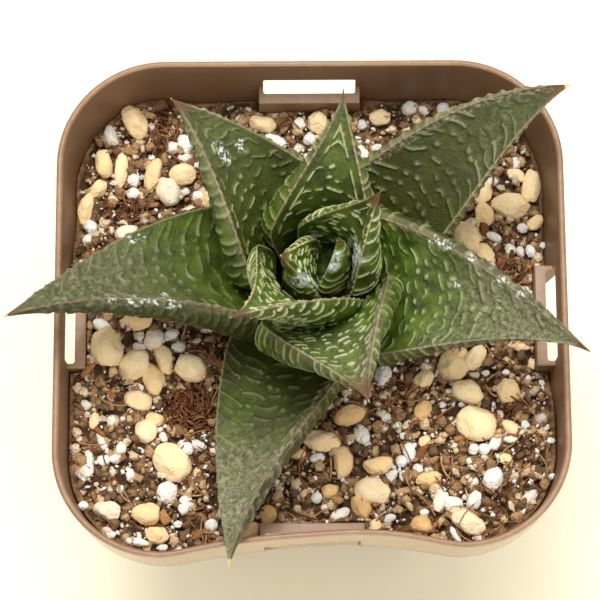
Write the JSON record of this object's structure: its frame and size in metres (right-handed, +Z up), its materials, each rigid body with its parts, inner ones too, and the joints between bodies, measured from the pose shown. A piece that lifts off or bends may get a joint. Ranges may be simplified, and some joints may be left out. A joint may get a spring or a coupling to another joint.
{
  "type": "potted haworthia",
  "caption": "Small ridged succulent rosette, its pointed keeled leaves crossed by pale raised bands, growing in pebbly soil in a square tapered plastic nursery pot with rounded corners.",
  "frame": {"origin": "middle of the pot's foot, on the surface it stands on", "axes": "+Z up, +X to the right and -Y towards the viewer, square to the pot's walls"},
  "size_m": [0.0836, 0.0771, 0.0886],
  "materials": {
    "pot": "thin brown moulded plastic, satin, dusty along the rim",
    "soil": "dark crumbly potting mix with fibres and bark",
    "stem": "smooth green plant flesh",
    "leaf": "thick waxy green leaf with raised whitish bands and a pinkish brown margin",
    "pebble": "rounded tan pebble, dull",
    "perlite": "white porous grain, matte",
    "bark": "reddish brown fibre and bark crumb"
  },
  "bodies": {
    "root": {"pot": "pot", "soil": "soil", "stem": "stem", "leaf_01": "leaf", "leaf_02": "leaf", "leaf_03": "leaf", "leaf_04": "leaf", "leaf_05": "leaf", "leaf_06": "leaf", "leaf_07": "leaf", "leaf_08": "leaf", "leaf_09": "leaf", "leaf_10": "leaf", "leaf_11": "leaf"}
  },
  "joints": []
}
